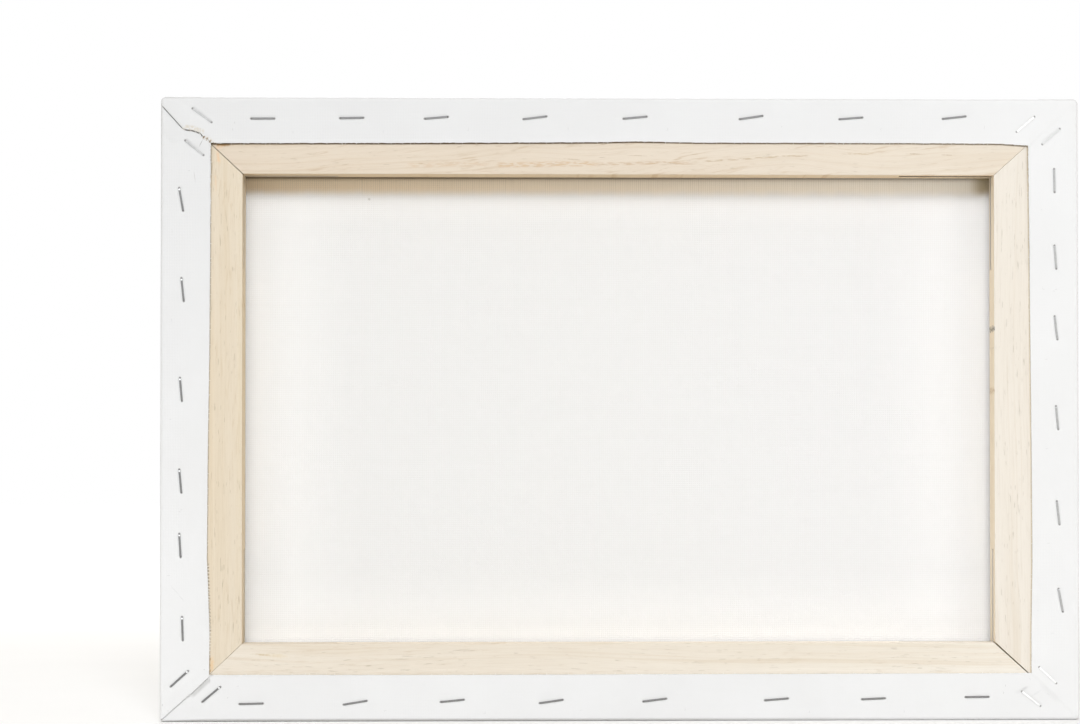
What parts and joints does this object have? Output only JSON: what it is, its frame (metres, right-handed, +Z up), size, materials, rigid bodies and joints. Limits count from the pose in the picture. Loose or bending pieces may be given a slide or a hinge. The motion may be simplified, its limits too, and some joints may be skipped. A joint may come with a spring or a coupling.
{
  "type": "stretched canvas",
  "caption": "Blank primed artist's canvas wrapped over a wooden stretcher frame with interlocking mitred corners, folded at the corners and stapled on the back.",
  "frame": {"origin": "centre of the bounding box's underside, so the canvas stands on its bottom edge", "axes": "+Z up, X along the width, the painted face looks towards -Y and the stapled back towards +Y"},
  "size_m": [0.45, 0.0192, 0.3049],
  "materials": {
    "bare_wood": "planed, unfinished",
    "primed_canvas": "matte white primer on woven cotton",
    "staple_steel": "galvanised wire"
  },
  "bodies": {
    "root": {"top_bar": "bare_wood", "bottom_bar": "bare_wood", "left_bar": "bare_wood", "right_bar": "bare_wood", "canvas": "primed_canvas", "staples_top": "staple_steel", "staples_bottom": "staple_steel", "staples_left": "staple_steel", "staples_right": "staple_steel", "corner_staples_top_left": "staple_steel", "corner_staples_top_right": "staple_steel", "corner_staples_bottom_left": "staple_steel", "corner_staples_bottom_right": "staple_steel"}
  },
  "joints": []
}
